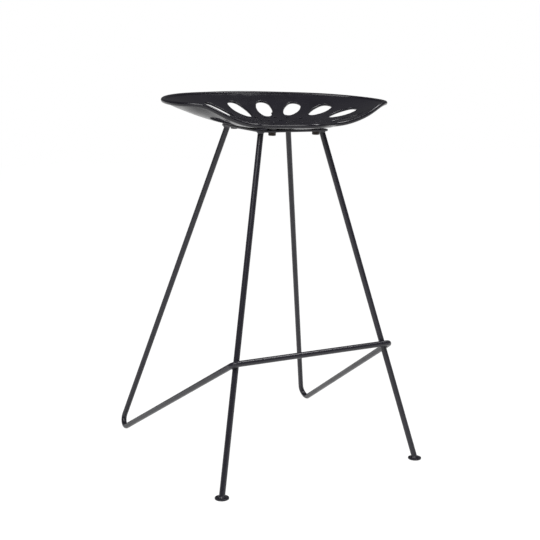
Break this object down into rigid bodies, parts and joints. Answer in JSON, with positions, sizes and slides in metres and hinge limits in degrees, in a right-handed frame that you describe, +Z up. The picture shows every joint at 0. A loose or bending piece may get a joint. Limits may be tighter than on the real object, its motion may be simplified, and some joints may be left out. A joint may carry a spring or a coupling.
{
  "type": "tractor seat stool",
  "caption": "Counter-height stool with a cast pan seat, petal openings and perforations, on a welded round-bar base with a footrest.",
  "frame": {"origin": "on the floor, midway across the base and midway between its front and rear ends", "axes": "+Z up, +X towards the stool's own left-hand side as its sitter faces -Y, -Y towards the front lip"},
  "size_m": [0.4992, 0.514, 0.7668],
  "materials": {
    "seat_paint": "satin black paint on a casting",
    "frame_paint": "satin black paint on steel bar",
    "hardware": "dark plated steel"
  },
  "bodies": {
    "root": {"seat": "seat_paint", "mounting_plate": "frame_paint", "rear_legs_and_footrest": "frame_paint", "front_leg_left": "frame_paint", "front_leg_right": "frame_paint", "front_foot_left": "frame_paint", "front_foot_right": "frame_paint", "seat_bolts": "hardware", "bolt_washers": "hardware"}
  },
  "joints": []
}
